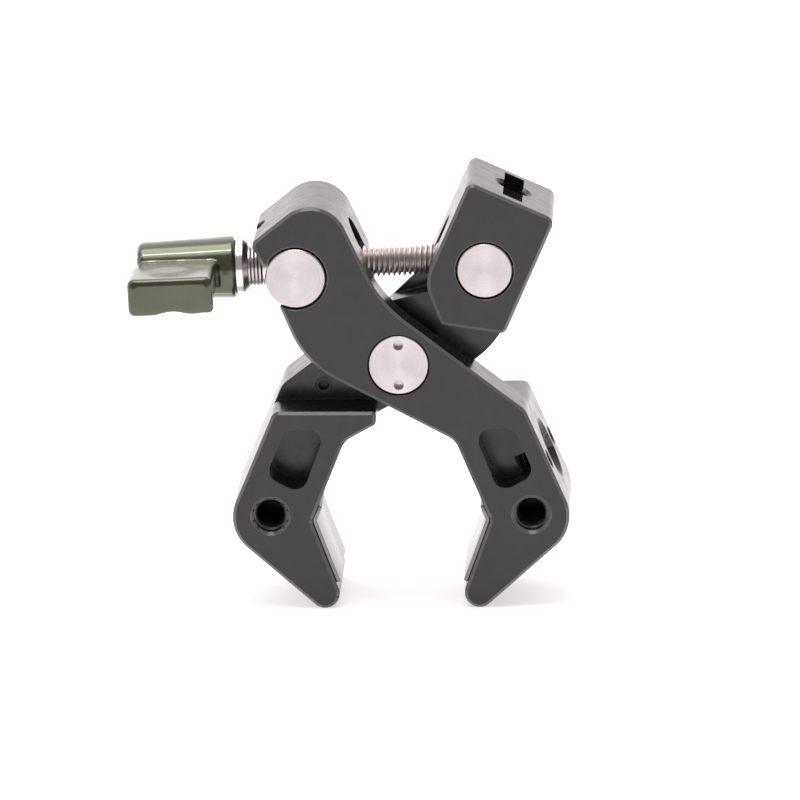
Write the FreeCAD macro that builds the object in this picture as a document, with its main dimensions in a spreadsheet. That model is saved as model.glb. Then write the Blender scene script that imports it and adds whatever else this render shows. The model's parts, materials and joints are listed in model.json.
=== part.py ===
"""Super clamp: two crossed arms on one pivot bolt, with a lever screw that spreads or closes them.

Units are millimetres. The origin is on the pivot axis at mid-width. +X runs towards the right jaw,
+Z is up, and the front of the clamp faces -Y. The screw line runs from the swivel barrel in the
front arm's hook to the nut barrel in the rear arm's block.
"""
import FreeCAD, Part
import math
import os

import Sketcher

Vector = FreeCAD.Vector
Y_AXIS = Vector(0, 1, 0)
Z_AXIS = Vector(0, 0, 1)
X_AXIS = Vector(1, 0, 0)

# Driving dimensions. Widths and depths are along Y; "_s" is a place along the screw line, measured
# from the swivel barrel's axis, and negative towards the lever.
SIZES = {
    "width": 25.0,              # both arms, front face to rear face
    "cheek": 10.15,             # front arm's thickness where the arms cross
    "arm_gap": 0.2,             # between the two crossing faces
    "chamfer_size": 0.6,
    "swivel_x": -19.2, "swivel_z": 16.87,
    "nut_x": 16.5, "nut_z": 18.1,
    "swivel_radius": 5.7, "recess_radius": 6.0, "recess_sink": 6.25,
    "nut_radius": 5.25, "nut_bore_radius": 5.5, "nut_bore_sink": 5.7,
    "barrel_chamfer": 0.25,
    "screw_radius": 3.0, "screw_hole_radius": 3.08, "nut_hole_radius": 3.4,
    "screw_start_s": -15.5, "screw_end_s": 45.5, "screw_chamfer": 0.7,
    # room for the screw inside the arms; heights are from the screw line
    "hook_slot": 7.9, "hook_slot_top": 8.6, "hook_slot_bottom": -6.4,
    "hook_slot_start_s": -14.0, "hook_slot_end_s": 15.0,
    "swing_start_s": 3.0, "swing_reach": 24.0, "swing_bottom": -4.6, "swing_height": 6.0,
    "swing_angle": 12.8,
    "block_slot": 7.65, "block_slot_top": 8.3, "block_slot_bottom": -3.5,
    "block_slot_far_top": 6.4, "block_slot_far_bottom": -6.6,
    "block_swing_angle": 11.6, "block_swing_reach": 25.0,
    "relief_depth": 2.9, "web_step": 7.0,
    # pivot
    "bolt_head_radius": 5.75, "bolt_seat_radius": 5.9, "bolt_head": 3.5,
    "shank_radius": 4.0, "shank_hole_radius": 4.02, "bush_radius": 5.0, "bush_bore": 4.04,
    "bush_hole_radius": 5.01, "bush_end_gap": 0.1, "bolt_thread_radius": 3.0, "bolt_inset": 0.2,
    "pivot_nut_bore": 3.02, "pivot_nut": 2.9, "washer_bore": 4.1,
    "washer_radius": 6.3, "washer_pocket_radius": 6.4, "washer": 0.96, "washer_pocket": 0.8,
    "spanner_hole_radius": 0.95, "spanner_hole": 2.0, "spanner_pitch": 3.85,
    # accessory threads, at their major radius
    "quarter_inch_radius": 3.175, "quarter_inch_sink": 3.85, "quarter_inch_depth": 13.5,
    "three_eighths_radius": 4.7625, "three_eighths_sink": 6.1, "three_eighths_depth": 6.5,
    "jaw_hole_x": 24.77, "jaw_hole_z": -29.32,
    "side_hole_z": -19.2,
    "pin_hole_radius": 1.75, "pin_hole_sink": 2.0, "pin_hole_pitch": 9.1, "pin_hole_depth": 4.0,
    "top_hole_z": 31.48, "top_hole_depth": 9.0,
    "key_width": 4.0, "key_length": 19.4, "key_depth": 3.0,
    "window_depth": 8.0,
    # stop screw in the rear arm's web
    "stop_x": -14.7, "stop_z": -6.25, "stop_radius": 1.5, "stop_hole_radius": 1.52,
    "stop_length": 6.0, "stop_inset": 0.05, "stop_socket": 1.1, "stop_socket_depth": 1.8,
    # jaw pads
    "pad_thickness": 0.8, "pad_margin": 0.9, "pad_above_bend": 3.2, "pad_below_bend": 13.0,
    "bond_gap": 0.02,
    # parts on the screw line
    "seat_start_s": -6.6, "seat_end_s": -5.3, "seat_radius": 3.85, "spot_face_radius": 4.0,
    "disc_count": 4, "disc_start_s": -9.38, "disc_pitch": 0.68, "disc_plate": 0.36, "disc_cone": 0.28,
    "disc_radius": 3.85, "disc_bore": 3.15,
    "dome_start_s": -10.3, "dome_end_s": -9.42, "dome_radius": 5.3, "dome_tip_radius": 4.4,
    "flange_start_s": -11.6, "flange_end_s": -10.32, "flange_radius": 5.3,
    "ring_start_s": -11.83, "ring_end_s": -11.62, "ring_radius": 5.05,
    "collar_start_s": 6.6, "collar_end_s": 9.4, "collar_radius": 3.7, "collar_bore": 3.02,
    "collar_pin_s": 8.0, "collar_pin_radius": 0.6, "collar_pin_hole": 0.62, "collar_pin_half": 3.5,
    # lever and its ratchet
    "hub_end_s": -11.85, "hub_start_s": -15.2, "hub_radius": 6.0,
    "lever_start_s": -30.4, "lever_radius": 5.6, "lever_end_radius": 5.2,
    "wing_reach": 20.0, "wing_start_s": -31.3, "wing_end_s": -14.8, "wing_top": 2.6, "wing_bottom": -4.6,
    "wing_round": 1.6,
    "insert_start_s": -18.9, "insert_end_s": -11.9, "insert_radius": 3.5, "insert_bore": 3.01,
    "spline_radius": 3.6, "spline_end_s": -19.0, "neck_end_s": -21.0, "neck_radius": 2.0,
    "spring_bore_radius": 3.8, "lever_screw_radius": 1.48, "lever_screw_tip_s": -15.9,
    "lever_screw_hole": 1.5, "lever_screw_head": 3.6, "lever_screw_head_start_s": -30.2,
    "lever_screw_head_end_s": -27.6, "lever_screw_socket": 1.5, "lever_screw_socket_depth": 1.6,
    "spring_start_s": -27.4, "spring_end_s": -21.2, "spring_radius": 2.9, "spring_wire": 0.3,
    "spring_turns": 4,
}

# Corners of the outlines in the XZ plane: x, z and the radius of the round there. The jaw corners
# are those of the right jaw; the left jaw is their mirror image.
CORNERS = {
    "hook_tip": (-25.4, 19.3, 0.9),
    "hook_shoulder": (-27.5, 23.6, 1.3),
    "crown": (-13.55, 34.6, 7.1),
    "neck": (-3.3, 12.15, 26.0),
    "elbow": (23.85, -9.0, 3.0),
    "heel": (33.55, -31.8, 7.8),
    "tip": (8.25, -54.15, 2.8),
    "bend": (16.95, -30.5, 1.5),
    "throat": (10.5, -14.85, 4.0),
    "belly": (-17.75, 0.4, 18.0),
    "lip": (-22.25, 11.35, 0.8),
    # the hook's rear part stops short of the rear arm's web
    "hook_heel": (-10.3, 7.6, 5.0),
    # inner end of the jaw's ledge
    "nose_top": (4.4, -9.1, 0.9),
    # shallow relief along the back of the front arm's neck
    "relief_neck": (-4.35, 11.3, 27.3),
    "relief_right": (6.5, 3.2, 0.5),
    "relief_far": (12.0, 10.0, 0.5),
    "relief_top": (-2.0, 20.5, 0.5),
    "relief_left": (-7.9, 19.2, 0.5),
    # and its match along the rear arm's web
    "step_right": (6.1, 15.4, 0.5),
    "step_bend": (-1.85, 7.85, 41.0),
    "step_left": (-14.0, -1.2, 0.5),
    "step_outside": (-16.5, 6.0, 0.5),
    "step_far": (0.0, 20.0, 0.5),
    # rear arm
    "block_left": (13.7, 35.2, 1.5),
    "block_right": (29.9, 27.8, 1.7),
    "block_toe": (8.15, 7.7, 1.6),
    "block_cheek": (5.0, 15.85, 7.5),
    "web_bend": (-2.7, 8.85, 40.0),
    # window pocket in the front of each jaw
    "window_outer_top": (21.6, -12.4, 2.8),
    "window_inner_top": (13.8, -12.4, 2.4),
    "window_inner_low": (18.7, -25.1, 2.5),
    "window_outer_low": (25.5, -21.45, 2.4),
}


def on_side(first, last, z, radius):
    """A corner on the straight side between two corners, at a height."""
    (x_first, z_first, _), (x_last, z_last, _) = CORNERS[first], CORNERS[last]
    return x_first + (x_last - x_first) * (z - z_first) / (z_last - z_first), z, radius


def slope(first, last):
    """Degrees by which a side that runs down to the right leans from level."""
    (x_first, z_first, _), (x_last, z_last, _) = CORNERS[first], CORNERS[last]
    return math.degrees(math.atan2(z_first - z_last, x_last - x_first))


def mirrored(name):
    x, z, radius = CORNERS[name]
    return -x, z, radius


# Corners that follow from others, so that sides of the layers of an arm stay flush.
CORNERS["swivel_centre"] = (SIZES["swivel_x"], SIZES["swivel_z"], 0.0)
CORNERS["hook_root"] = on_side("crown", "neck", 17.9, 2.5)
CORNERS["hook_under"] = on_side("lip", "belly", 7.3, 1.0)
CORNERS["nose_low"] = on_side("throat", "belly", -11.6, 1.2)
CORNERS["ledge"] = CORNERS["elbow"][:2] + (1.8,)
for jaw_corner in ("belly", "throat", "bend", "tip", "heel", "elbow"):
    CORNERS[jaw_corner + "_left"] = mirrored(jaw_corner)
CORNERS["web_elbow"] = on_side("elbow_left", "heel_left", -6.1, 3.5)
CORNERS["block_foot"] = on_side("block_right", "belly_left", 5.8, 1.5)
CORNERS["web_root"] = on_side("block_left", "block_cheek", 16.3, 4.0)

# The accessory holes start on these sides and run square to them.
SIZES["side_hole_x"] = on_side("elbow", "heel", SIZES["side_hole_z"], 0)[0]
SIZES["side_hole_slope"] = 90 - slope("elbow", "heel")
SIZES["top_hole_x"] = on_side("block_left", "block_right", SIZES["top_hole_z"], 0)[0]
SIZES["block_lean"] = slope("block_left", "block_right")


def into_mouth(end):
    """Unit normal, into the mouth, of the right jaw's face between its bend and another corner."""
    (x_bend, z_bend, _), (x_end, z_end, _) = CORNERS["bend"], CORNERS[end]
    length = math.hypot(x_end - x_bend, z_end - z_bend)
    side = -1 if z_end > z_bend else 1
    return side * (z_end - z_bend) / length, side * (x_bend - x_end) / length


def pad_end(end, along, away):
    """A square corner of a jaw pad: a distance along a jaw face from the bend, and off that face."""
    (x_bend, z_bend, _), (x_end, z_end, _) = CORNERS["bend"], CORNERS[end]
    share = along / math.hypot(x_end - x_bend, z_end - z_bend)
    normal_x, normal_z = into_mouth(end)
    x = x_bend + (x_end - x_bend) * share + normal_x * away
    return x, z_bend + (z_end - z_bend) * share + normal_z * away, 0.0


def pad_bend(away):
    """The jaw's bend moved into the mouth by the same distance from both faces."""
    x_bend, z_bend, radius = CORNERS["bend"]
    (upper_x, upper_z), (lower_x, lower_z) = into_mouth("throat"), into_mouth("tip")
    scale = away / (1 + upper_x * lower_x + upper_z * lower_z)
    return x_bend + (upper_x + lower_x) * scale, z_bend + (upper_z + lower_z) * scale, radius - away


for face, pad_offset in (("outer", SIZES["bond_gap"]), ("inner", SIZES["bond_gap"] + SIZES["pad_thickness"])):
    CORNERS["pad_top_" + face] = pad_end("throat", SIZES["pad_above_bend"], pad_offset)
    CORNERS["pad_bend_" + face] = pad_bend(pad_offset)
    CORNERS["pad_low_" + face] = pad_end("tip", SIZES["pad_below_bend"], pad_offset)

# The lever's wing, in places along the screw line and heights above it.
for corner, s_name, height_name in (("outer_top", "wing_start_s", "wing_top"),
                                    ("inner_top", "wing_end_s", "wing_top"),
                                    ("inner_low", "wing_end_s", "wing_bottom"),
                                    ("outer_low", "wing_start_s", "wing_bottom")):
    CORNERS["wing_" + corner] = (SIZES[s_name], SIZES[height_name], SIZES["wing_round"])

RIGHT, LEFT = 1, -1
WING = ["wing_outer_top", "wing_inner_top", "wing_inner_low", "wing_outer_low"]
PAD = ["pad_top_outer", "pad_bend_outer", "pad_low_outer", "pad_low_inner", "pad_bend_inner", "pad_top_inner"]
JAW = ["heel", "tip", "bend", "throat", "nose_low", "nose_top", "ledge"]
NECK_RELIEF = ["relief_neck", "relief_right", "relief_far", "relief_top", "relief_left"]
WEB_STEP = ["step_right", "step_bend", "step_left", "step_outside", "step_far"]
WINDOW = ["window_outer_top", "window_inner_top", "window_inner_low", "window_outer_low"]

doc = FreeCAD.newDocument("super_clamp")
sheet = doc.addObject("Spreadsheet::Sheet", "Sizes")
subparts = []


def fill_sheet():
    """One row for each size, and three for each corner, with the name as the cell's alias."""
    rows = dict(SIZES)
    rise = SIZES["nut_z"] - SIZES["swivel_z"]
    run = SIZES["nut_x"] - SIZES["swivel_x"]
    rows["screw_tilt"] = round(math.degrees(math.atan2(rise, run)), 4)
    for name, (x, z, radius) in CORNERS.items():
        rows[name + "_x"] = x
        rows[name + "_z"] = z
        rows[name + "_round"] = radius
    for row, (name, value) in enumerate(rows.items(), start=1):
        sheet.set(f"A{row}", name)
        sheet.set(f"B{row}", str(value))
        sheet.setAlias(f"B{row}", name)
    doc.recompute()


def size(name):
    return float(sheet.get(name))


def bind(thing, **sizes):
    """Tie properties to expressions over the sheet; a name such as Base_x means Placement.Base.x."""
    for name, expression in sizes.items():
        if name.startswith("Base_"):
            name = "Placement.Base." + name[-1]
        thing.setExpression(name, expression)


def cell(name):
    return "Sizes." + name


def finish(thing, label):
    """Name a finished sub-part and list it for export."""
    thing.Label = label
    subparts.append(thing)
    return thing


# ---------------------------------------------------------------- primitives and booleans

def cylinder(name, radius, length, along=Y_AXIS, x="0", y="0", z="0"):
    """A cylinder from a point, along a direction; sizes and place are expressions."""
    solid = doc.addObject("Part::Cylinder", name)
    solid.Placement = FreeCAD.Placement(Vector(), FreeCAD.Rotation(Z_AXIS, along))
    bind(solid, Radius=radius, Height=length, Base_x=x, Base_y=y, Base_z=z)
    return solid


def cone(name, radius, end_radius, length, along=Y_AXIS, x="0", y="0", z="0"):
    solid = doc.addObject("Part::Cone", name)
    solid.Placement = FreeCAD.Placement(Vector(), FreeCAD.Rotation(Z_AXIS, along))
    bind(solid, Radius1=radius, Radius2=end_radius, Height=length, Base_x=x, Base_y=y, Base_z=z)
    return solid


def box(name, length, width, height, x, y, z):
    solid = doc.addObject("Part::Box", name)
    bind(solid, Length=length, Width=width, Height=height, Base_x=x, Base_y=y, Base_z=z)
    return solid


def hexagon(name, radius, depth, along, x="0", y="0", z="0"):
    """A six-sided socket cutter, across its corners twice the radius."""
    solid = doc.addObject("Part::Prism", name)
    solid.Polygon = 6
    solid.Placement = FreeCAD.Placement(Vector(), FreeCAD.Rotation(Z_AXIS, along))
    bind(solid, Circumradius=radius, Height=depth, Base_x=x, Base_y=y, Base_z=z)
    return solid


def fuse(name, solids):
    joined = doc.addObject("Part::MultiFuse", name)
    joined.Shapes = solids
    return joined


def compound(name, solids):
    """Separate solids kept together, with one placement."""
    together = doc.addObject("Part::Compound", name)
    together.Links = solids
    return together


def cut(name, base, tool):
    result = doc.addObject("Part::Cut", name)
    result.Base = base
    result.Tool = tool
    return result


def on_screw_line(thing):
    """Move a shape built along +X about the origin onto the screw line, about the swivel axis."""
    thing.Placement = FreeCAD.Placement(Vector(), FreeCAD.Rotation(-Y_AXIS, size("screw_tilt")))
    bind(thing, Base_x=cell("swivel_x"), Base_z=cell("swivel_z"))
    return thing


def line_cylinder(name, radius, start, end):
    """A cylinder about the X axis from one place on the screw line to another."""
    return cylinder(name, radius, f"({end}) - ({start})", along=X_AXIS, x=start)


def ring(label, radius, bore, start, end):
    """A plain washer or collar on the screw line."""
    outside = line_cylinder(label + "_outside", radius, start, end)
    inside = line_cylinder(label + "_inside", bore, f"({start}) - 1", f"({end}) + 1")
    return cut(label + "_ring", outside, inside)


# ---------------------------------------------------------------- sketched outlines

def origin_plane(body, role):
    return next(plane for plane in body.Origin.OriginFeatures if plane.Role == role)


def front_sketch(body, name, depth):
    """A sketch parallel to the XZ plane, at a depth along +Y that is an expression."""
    sketch = body.newObject("Sketcher::SketchObject", name)
    sketch.AttachmentSupport = (origin_plane(body, "XZ_Plane"), [""])
    sketch.MapMode = "FlatFace"
    sketch.setExpression("AttachmentOffset.Base.z", f"-({depth})")
    return sketch


def fix(sketch, constraint, expression=None):
    index = sketch.addConstraint(constraint)
    if expression:
        sketch.setExpression(f"Constraints[{index}]", expression)


def add_outline(sketch, names, side=RIGHT):
    """A closed loop of straight sides through named corners, with a tangent arc at each round."""
    corners = [Vector(side * size(name + "_x"), size(name + "_z"), 0) for name in names]
    radii = [size(name + "_round") for name in names]
    entries, exits, arcs = [], [], []
    for i, here in enumerate(corners):
        back = (corners[i - 1] - here).normalize()
        ahead = (corners[(i + 1) % len(corners)] - here).normalize()
        half = back.getAngle(ahead) / 2
        reach = radii[i] / math.tan(half)
        entries.append(here + back * reach)
        exits.append(here + ahead * reach)
        arcs.append(None)
        if radii[i] > 0:
            centre = here + (back + ahead).normalize() * (radii[i] / math.sin(half))
            turns_left = (-back).cross(ahead).z > 0
            first, last = (entries[i], exits[i]) if turns_left else (exits[i], entries[i])
            start = math.atan2(first.y - centre.y, first.x - centre.x)
            stop = math.atan2(last.y - centre.y, last.x - centre.x)
            arcs[i] = (Part.ArcOfCircle(Part.Circle(centre, Z_AXIS, radii[i]), start, stop), turns_left)
    lines = [sketch.addGeometry(Part.LineSegment(exits[i], entries[(i + 1) % len(corners)]))
             for i in range(len(corners))]
    for i, name in enumerate(names):
        into, out = lines[i - 1], lines[i]
        sign = "-" if side == LEFT else ""
        x, z = f"{sign}Sizes.{name}_x", f"Sizes.{name}_z"
        if arcs[i] is None:
            fix(sketch, Sketcher.Constraint("Coincident", into, 2, out, 1))
            point = out
        else:
            curve, turns_left = arcs[i]
            arc = sketch.addGeometry(curve)
            fix(sketch, Sketcher.Constraint("Tangent", into, 2, arc, 1 if turns_left else 2))
            fix(sketch, Sketcher.Constraint("Tangent", out, 1, arc, 2 if turns_left else 1))
            fix(sketch, Sketcher.Constraint("Radius", arc, radii[i]), f"Sizes.{name}_round")
            point = sketch.addGeometry(Part.Point(corners[i]), True)
            fix(sketch, Sketcher.Constraint("PointOnObject", point, 1, into))
            fix(sketch, Sketcher.Constraint("PointOnObject", point, 1, out))
        fix(sketch, Sketcher.Constraint("DistanceX", point, 1, corners[i].x), x)
        fix(sketch, Sketcher.Constraint("DistanceY", point, 1, corners[i].y), z)


def pad(body, name, names, front, back, side=RIGHT):
    """Extrude an outline between two depths, both expressions along Y."""
    sketch = front_sketch(body, name + "_sketch", front)
    add_outline(sketch, names, side)
    plate = body.newObject("PartDesign::Pad", name)
    plate.Profile = sketch
    plate.Reversed = True
    plate.setExpression("Length", f"({back}) - ({front})")
    return plate


def prism(name, names, front, back, side=RIGHT):
    """A body of its own with one padded outline, used as a cutter."""
    body = doc.addObject("PartDesign::Body", name)
    pad(body, name + "_pad", names, front, back, side)
    return body


def chamfer_faces(body, name):
    """Break every edge of the front and rear faces."""
    doc.recompute()
    half = size("width") / 2
    solid = body.Tip
    edges = []
    for index, edge in enumerate(solid.Shape.Edges, start=1):
        box_of_edge = edge.BoundBox
        flat = box_of_edge.YLength < 1e-4
        if flat and abs(abs(box_of_edge.YMin) - half) < 1e-4:
            edges.append(f"Edge{index}")
    bevel = body.newObject("PartDesign::Chamfer", name)
    bevel.Base = (solid, edges)
    bevel.setExpression("Size", cell("chamfer_size"))
    doc.recompute()


FRONT = "-Sizes.width / 2"
BACK = "Sizes.width / 2"
CHEEK_BACK = "-Sizes.width / 2 + Sizes.cheek"
WEB_FRONT = "-Sizes.width / 2 + Sizes.cheek + Sizes.arm_gap"


# ---------------------------------------------------------------- the two arms

def sunk_hole(name, size_name, depth, x, z, along, face_y="0"):
    """A hole and its countersink, as one cutter that starts on the face and runs inwards."""
    radius, sink = cell(size_name + "_radius"), cell(size_name + "_sink")
    bore = cylinder(name + "_bore", radius, depth, along, x, face_y, z)
    mouth = cone(name + "_mouth", sink, radius, f"{sink} - {radius}", along, x, face_y, z)
    return fuse(name, [bore, mouth])


def jaw_hole(name, side):
    sign = "-" if side == LEFT else ""
    x = sign + cell("jaw_hole_x")
    return sunk_hole(name, "quarter_inch", cell("quarter_inch_depth"), x, cell("jaw_hole_z"),
                     Y_AXIS, FRONT)


def sunk_cross_bore(name, size_name, x, z):
    """A bore from the front face to the rear face, with both of its edges broken."""
    radius, sink = cell(size_name + "_radius"), cell(size_name + "_sink")
    edge = f"{sink} - {radius}"
    return fuse(name, [
        cylinder(name + "_bore", radius, "Sizes.width + 2", Y_AXIS, x, FRONT + " - 1", z),
        cone(name + "_front", sink, radius, edge, Y_AXIS, x, FRONT, z),
        cone(name + "_rear", radius, sink, edge, Y_AXIS, x, f"{BACK} - ({edge})", z),
    ])


def screw_passage(name, half, top, bottom, start, end):
    """A slot along the screw line with a round top, and room below for the screw to swing."""
    length = f"({end}) - ({start})"
    width = f"2 * ({half})"
    slot = box(name + "_slot", length, width, f"({top}) - ({half}) - ({bottom})", start,
               f"-({half})", bottom)
    round_top = cylinder(name + "_top", half, length, X_AXIS, x=start, z=f"({top}) - ({half})")
    return [slot, round_top]


def tilted_box(name, half, reach, height, angle, x, z):
    """Room below the line for the screw to swing into, as a box that leans down by an angle."""
    room = box(name, reach, f"2 * ({half})", height, x, f"-({half})", z)
    room.Placement = FreeCAD.Placement(Vector(), FreeCAD.Rotation(Y_AXIS, angle))
    return room


def front_arm():
    body = doc.addObject("PartDesign::Body", "front_arm_blank")
    outline = ["hook_tip", "hook_shoulder", "crown", "neck", "elbow", "heel", "tip", "bend",
               "throat", "belly", "lip", "swivel_centre"]
    pad(body, "front_cheek", outline, FRONT, CHEEK_BACK)
    hook = ["hook_tip", "hook_shoulder", "crown", "hook_root", "hook_heel", "hook_under", "lip",
            "swivel_centre"]
    pad(body, "hook_rear", hook, CHEEK_BACK, BACK)
    pad(body, "right_jaw_rear", JAW, CHEEK_BACK, BACK)
    chamfer_faces(body, "front_arm_edges")

    half = "Sizes.hook_slot / 2"
    slot_parts = screw_passage("hook_passage", half, cell("hook_slot_top"), cell("hook_slot_bottom"),
                               cell("hook_slot_start_s"), cell("hook_slot_end_s"))
    slot_parts.append(tilted_box("hook_swing", half, cell("swing_reach"), cell("swing_height"),
                                 size("swing_angle"), cell("swing_start_s"), cell("swing_bottom")))
    passage = on_screw_line(fuse("hook_screw_room", slot_parts))

    recess = sunk_cross_bore("hook_recess", "recess", cell("swivel_x"), cell("swivel_z"))
    seat = cylinder("bolt_seat", cell("bolt_seat_radius"), cell("bolt_head"), Y_AXIS, y=FRONT)
    shank = cylinder("front_shank_hole", cell("shank_hole_radius"), cell("width"), Y_AXIS, y=FRONT)

    lean = math.radians(size("side_hole_slope"))
    inwards = Vector(-math.cos(lean), 0, -math.sin(lean))
    side_x, side_z = cell("side_hole_x"), cell("side_hole_z")
    side_hole = sunk_hole("side_hole", "three_eighths", cell("three_eighths_depth"), side_x, side_z, inwards)
    pins = [sunk_hole("pin_hole_" + place, "pin_hole", cell("pin_hole_depth"), side_x, side_z, inwards,
                      f"{sign}Sizes.pin_hole_pitch")
            for place, sign in (("front", "-"), ("rear", ""))]
    window = prism("right_window", WINDOW, FRONT, FRONT + " + Sizes.window_depth")
    relief = prism("neck_relief", NECK_RELIEF, CHEEK_BACK + " - Sizes.relief_depth", CHEEK_BACK)
    tools = [passage, recess, seat, shank, window, relief, side_hole, jaw_hole("right_jaw_hole", RIGHT)]
    tools += pins
    return finish(cut("front_arm_cut", body, fuse("front_arm_cutters", tools)), "front_arm")


def rear_arm():
    body = doc.addObject("PartDesign::Body", "rear_arm_blank")
    web = ["block_left", "block_right", "belly_left", "throat_left", "bend_left", "tip_left",
           "heel_left", "web_elbow", "web_bend", "web_root"]
    pad(body, "rear_web", web, WEB_FRONT, BACK)
    block = ["block_left", "block_right", "block_foot", "block_toe", "block_cheek"]
    pad(body, "block_front", block, FRONT, WEB_FRONT)
    pad(body, "left_jaw_front", JAW, FRONT, WEB_FRONT, LEFT)
    chamfer_faces(body, "rear_arm_edges")

    half = "Sizes.block_slot / 2"
    apart = "hypot(Sizes.nut_x - Sizes.swivel_x; Sizes.nut_z - Sizes.swivel_z)"
    left_part = screw_passage("block_passage", half, cell("block_slot_top"), cell("block_slot_bottom"),
                              f"{apart} - Sizes.width", apart)
    right_part = screw_passage("block_far_passage", half, cell("block_slot_far_top"),
                               cell("block_slot_far_bottom"), f"{apart} - 1", f"{apart} + Sizes.width")
    lean = math.radians(size("block_swing_angle"))
    reach, drop = size("block_swing_reach"), -size("block_slot_bottom")
    corner_x = -reach * math.cos(lean) + drop * math.sin(lean)
    corner_z = -reach * math.sin(lean) - drop * math.cos(lean)
    swing = tilted_box("block_swing", half, cell("block_swing_reach"), "-Sizes.block_slot_bottom",
                       -size("block_swing_angle"), f"{apart} + ({corner_x})", str(corner_z))
    passage = on_screw_line(fuse("block_screw_room", left_part + right_part + [swing]))

    bore = sunk_cross_bore("nut_room", "nut_bore", cell("nut_x"), cell("nut_z"))
    washer_pocket = cylinder("washer_pocket_room", cell("washer_pocket_radius"),
                             cell("washer_pocket") + " + Sizes.arm_gap", y=WEB_FRONT + " - Sizes.arm_gap")
    bush_hole = cylinder("bush_hole", cell("bush_hole_radius"), cell("width"), Y_AXIS, y=WEB_FRONT)
    nut_seat = cylinder("pivot_nut_seat", cell("bolt_seat_radius"), cell("pivot_nut") + " + 1",
                        Y_AXIS, y=BACK + " - Sizes.pivot_nut")
    stop_hole = cylinder("stop_hole", cell("stop_hole_radius"), cell("stop_length"), Y_AXIS,
                         cell("stop_x"), WEB_FRONT, cell("stop_z"))

    lean = math.radians(size("block_lean"))
    down = Vector(-math.sin(lean), 0, -math.cos(lean))
    top_hole = sunk_hole("top_hole", "quarter_inch", cell("top_hole_depth"),
                         cell("top_hole_x"), cell("top_hole_z"), down)
    key = box("key_slot", cell("key_width"), cell("key_length"), cell("key_depth") + " + 3",
              "0", "0", "0")
    across = Vector(math.cos(lean), 0, -math.sin(lean))
    start = Vector(size("top_hole_x"), 0, size("top_hole_z")) + down * size("key_depth")
    start -= across * (size("key_width") / 2)
    key.Placement = FreeCAD.Placement(start, FreeCAD.Rotation(Y_AXIS, size("block_lean")))
    bind(key, Base_x=str(start.x), Base_y="-Sizes.key_length / 2", Base_z=str(start.z))
    window = prism("left_window", WINDOW, FRONT, FRONT + " + Sizes.window_depth", LEFT)
    step = prism("web_step_room", WEB_STEP, WEB_FRONT + " + Sizes.web_step", BACK)
    tools = [passage, bore, window, step, washer_pocket, bush_hole, nut_seat, stop_hole, top_hole, key,
             jaw_hole("left_jaw_hole", LEFT)]
    return finish(cut("rear_arm_cut", body, fuse("rear_arm_cutters", tools)), "rear_arm")


# ---------------------------------------------------------------- jaw pads, pivot and stop

def jaw_pad(label, side):
    """A thin bent strip bonded in the jaw's notch."""
    front, back = FRONT + " + Sizes.pad_margin", BACK + " - Sizes.pad_margin"
    return finish(prism(label + "_strip", PAD, front, back, side), label)


def spanner_holes(name, y):
    """Two blind holes across the pivot axis, one above the other, starting at a depth along Y."""
    return [cylinder(f"{name}_{place}", cell("spanner_hole_radius"), cell("spanner_hole"), Y_AXIS,
                     y=y, z=f"{sign}Sizes.spanner_pitch")
            for place, sign in (("upper", ""), ("lower", "-"))]


def pivot_bolt():
    """Shoulder bolt with a round spanner head, a bearing shank and a threaded end."""
    edge, radius = cell("barrel_chamfer"), cell("bolt_head_radius")
    shoulder = BACK + " - Sizes.pivot_nut"
    solids = [
        cone("bolt_head_edge", f"{radius} - {edge}", radius, edge, y=FRONT),
        cylinder("bolt_head", radius, f"Sizes.bolt_head - {edge} - Sizes.bond_gap", y=f"{FRONT} + {edge}"),
        cylinder("bolt_shank", cell("shank_radius"), "Sizes.width - Sizes.bolt_head - Sizes.pivot_nut + 1",
                 y=FRONT + " + Sizes.bolt_head - 1"),
        cylinder("bolt_thread", cell("bolt_thread_radius"), "Sizes.pivot_nut",
                 y=f"{shoulder} - Sizes.bolt_inset"),
    ]
    body = fuse("bolt_solids", solids)
    return finish(cut("bolt_cut", body, fuse("bolt_holes", spanner_holes("bolt_hole", FRONT))), "pivot_bolt")


def pivot_nut():
    """Round spanner nut in the rear face, on the bolt's threaded end."""
    edge, radius = cell("barrel_chamfer"), cell("bolt_head_radius")
    start = BACK + " - Sizes.pivot_nut + Sizes.bond_gap"
    outside = fuse("nut_solids", [
        cylinder("nut_body", radius, f"Sizes.pivot_nut - Sizes.bond_gap - {edge}", y=start),
        cone("nut_edge", radius, f"{radius} - {edge}", edge, y=f"{BACK} - {edge}"),
    ])
    holes = spanner_holes("nut_hole", BACK + " - Sizes.spanner_hole")
    holes.append(cylinder("nut_thread", cell("pivot_nut_bore"), "Sizes.pivot_nut + 1", y=f"{start} - 0.5"))
    return finish(cut("nut_cut", outside, fuse("nut_holes", holes)), "pivot_nut")


def sleeve(label, radius, bore, length, y):
    """A plain bush or washer on the pivot axis."""
    outside = cylinder(label + "_outside", radius, length, y=y)
    inside = cylinder(label + "_inside", bore, f"{length} + 2", y=f"{y} - 1")
    return finish(cut(label + "_cut", outside, inside), label)


def stop_screw():
    """Set screw in the web that meets the front arm's belly when the jaws close."""
    x, z = cell("stop_x"), cell("stop_z")
    start = WEB_FRONT + " + Sizes.stop_inset"
    length = "Sizes.stop_length - 2 * Sizes.stop_inset"
    body = cylinder("stop_body", cell("stop_radius"), length, Y_AXIS, x, start, z)
    depth = cell("stop_socket_depth")
    socket = hexagon("stop_socket_room", cell("stop_socket"), depth, Y_AXIS, x, start, z)
    return finish(cut("stop_cut", body, socket), "stop_screw")


# ---------------------------------------------------------------- parts on the screw line

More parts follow.
